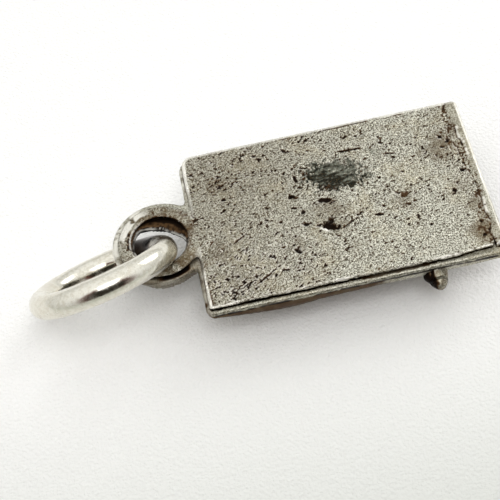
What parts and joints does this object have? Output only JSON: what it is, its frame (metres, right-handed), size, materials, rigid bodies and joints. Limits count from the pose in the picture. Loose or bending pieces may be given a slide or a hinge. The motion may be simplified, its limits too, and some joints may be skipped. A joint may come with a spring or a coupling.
{
  "type": "camera charm",
  "caption": "Small cast silver camera charm with a rough back, a raised lens, an eyelet on one short side and a loose jump ring.",
  "frame": {"origin": "middle of the footprint, jump ring included, at the height of the lens rim's flat face that the charm lies on", "axes": "+X along the camera from the eyelet to the free end, -Y towards the camera's top side with its knob, +Z out of the back"},
  "size_m": [0.0236, 0.0104, 0.0062],
  "materials": {
    "worn_silver": "worn, pitted and oxidised sterling silver",
    "bright_silver": "polished silver with fine handling scratches",
    "dark_silver": "blackened silver"
  },
  "bodies": {
    "charm": {"back_cover": "worn_silver", "body_frame": "worn_silver", "front_plate": "worn_silver", "raised_front": "worn_silver", "grained_panel": "dark_silver", "top_housing": "worn_silver", "viewfinder_frame": "worn_silver", "viewfinder_window": "dark_silver", "rangefinder_window": "worn_silver", "lens_mount": "worn_silver", "lens_barrel": "worn_silver", "lens_rim": "bright_silver", "lens_dome": "bright_silver", "winding_knob": "worn_silver", "knob_tip": "worn_silver", "shutter_button": "worn_silver"},
    "ring": {"jump_ring": "bright_silver"}
  },
  "joints": [
    {"name": "ring_swing", "type": "hinge", "parent": "charm", "child": "ring", "pos_m": [-0.00705, 0.00044, 0.00262], "axis": [0, 0.9136, 0.4067], "range_deg": [-130, 0]}
  ]
}
